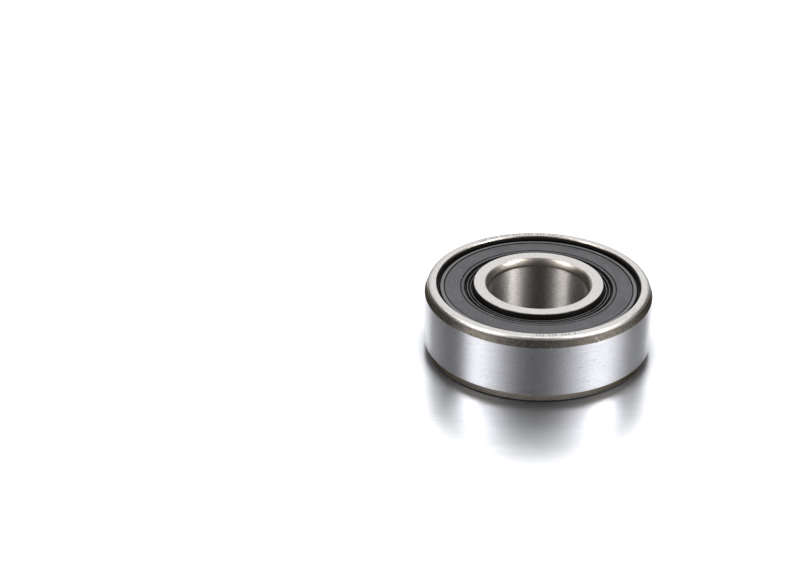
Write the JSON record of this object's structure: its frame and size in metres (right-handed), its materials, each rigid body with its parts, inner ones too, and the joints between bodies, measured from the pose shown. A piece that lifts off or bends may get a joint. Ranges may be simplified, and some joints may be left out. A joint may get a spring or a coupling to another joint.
{
  "type": "sealed deep-groove ball bearing",
  "caption": "Single-row deep-groove ball bearing with two steel rings, caged balls and a recessed dark rubber seal on each side.",
  "frame": {"origin": "centre of the lower side faces, on the bearing's axis", "axes": "+Z along the bore axis, from the lower side face to the upper one; +X from the axis through the first ball"},
  "size_m": [0.035, 0.035, 0.011],
  "materials": {
    "ring_steel": "ground and honed, with dark turned corners",
    "ball_steel": "polished",
    "cage_steel": "pressed sheet, satin",
    "rivet_steel": "cold headed, satin",
    "seal_rubber": "moulded, matte",
    "insert_steel": "cold rolled sheet, satin"
  },
  "bodies": {
    "outer_race": {"outer_ring": "ring_steel", "seal_upper": "seal_rubber", "seal_lower": "seal_rubber", "seal_insert_upper": "insert_steel", "seal_insert_lower": "insert_steel"},
    "inner_race": {"inner_ring": "ring_steel"},
    "cage": {"cage_half_upper": "cage_steel", "cage_half_lower": "cage_steel", "cage_rivet_1": "rivet_steel", "cage_rivet_2": "rivet_steel", "cage_rivet_3": "rivet_steel", "cage_rivet_4": "rivet_steel", "cage_rivet_5": "rivet_steel", "cage_rivet_6": "rivet_steel", "cage_rivet_7": "rivet_steel", "cage_rivet_8": "rivet_steel"},
    "ball_1": {"ball_1": "ball_steel"},
    "ball_2": {"ball_2": "ball_steel"},
    "ball_3": {"ball_3": "ball_steel"},
    "ball_4": {"ball_4": "ball_steel"},
    "ball_5": {"ball_5": "ball_steel"},
    "ball_6": {"ball_6": "ball_steel"},
    "ball_7": {"ball_7": "ball_steel"},
    "ball_8": {"ball_8": "ball_steel"}
  },
  "joints": [
    {"name": "inner_ring_spin", "type": "hinge", "parent": "outer_race", "child": "inner_race", "pos_m": [0, 0, 0.0055], "axis": [0, 0, 1], "continuous": true},
    {"name": "cage_orbit", "type": "hinge", "parent": "outer_race", "child": "cage", "pos_m": [0, 0, 0.0055], "axis": [0, 0, 1], "continuous": true},
    {"name": "ball_1_spin", "type": "hinge", "parent": "cage", "child": "ball_1", "pos_m": [0.0125, 0, 0.0055], "axis": [0, 0, 1], "continuous": true},
    {"name": "ball_2_spin", "type": "hinge", "parent": "cage", "child": "ball_2", "pos_m": [0.00884, 0.00884, 0.0055], "axis": [0, 0, 1], "continuous": true},
    {"name": "ball_3_spin", "type": "hinge", "parent": "cage", "child": "ball_3", "pos_m": [0, 0.0125, 0.0055], "axis": [0, 0, 1], "continuous": true},
    {"name": "ball_4_spin", "type": "hinge", "parent": "cage", "child": "ball_4", "pos_m": [-0.00884, 0.00884, 0.0055], "axis": [0, 0, 1], "continuous": true},
    {"name": "ball_5_spin", "type": "hinge", "parent": "cage", "child": "ball_5", "pos_m": [-0.0125, 0, 0.0055], "axis": [0, 0, 1], "continuous": true},
    {"name": "ball_6_spin", "type": "hinge", "parent": "cage", "child": "ball_6", "pos_m": [-0.00884, -0.00884, 0.0055], "axis": [0, 0, 1], "continuous": true},
    {"name": "ball_7_spin", "type": "hinge", "parent": "cage", "child": "ball_7", "pos_m": [0, -0.0125, 0.0055], "axis": [0, 0, 1], "continuous": true},
    {"name": "ball_8_spin", "type": "hinge", "parent": "cage", "child": "ball_8", "pos_m": [0.00884, -0.00884, 0.0055], "axis": [0, 0, 1], "continuous": true}
  ],
  "couplings": [
    {"joint": "cage_orbit", "follows": "inner_ring_spin", "ratio": 0.38094},
    {"joint": "ball_1_spin", "follows": "inner_ring_spin", "ratio": -1.9807},
    {"joint": "ball_2_spin", "follows": "inner_ring_spin", "ratio": -1.9807},
    {"joint": "ball_3_spin", "follows": "inner_ring_spin", "ratio": -1.9807},
    {"joint": "ball_4_spin", "follows": "inner_ring_spin", "ratio": -1.9807},
    {"joint": "ball_5_spin", "follows": "inner_ring_spin", "ratio": -1.9807},
    {"joint": "ball_6_spin", "follows": "inner_ring_spin", "ratio": -1.9807},
    {"joint": "ball_7_spin", "follows": "inner_ring_spin", "ratio": -1.9807},
    {"joint": "ball_8_spin", "follows": "inner_ring_spin", "ratio": -1.9807}
  ]
}
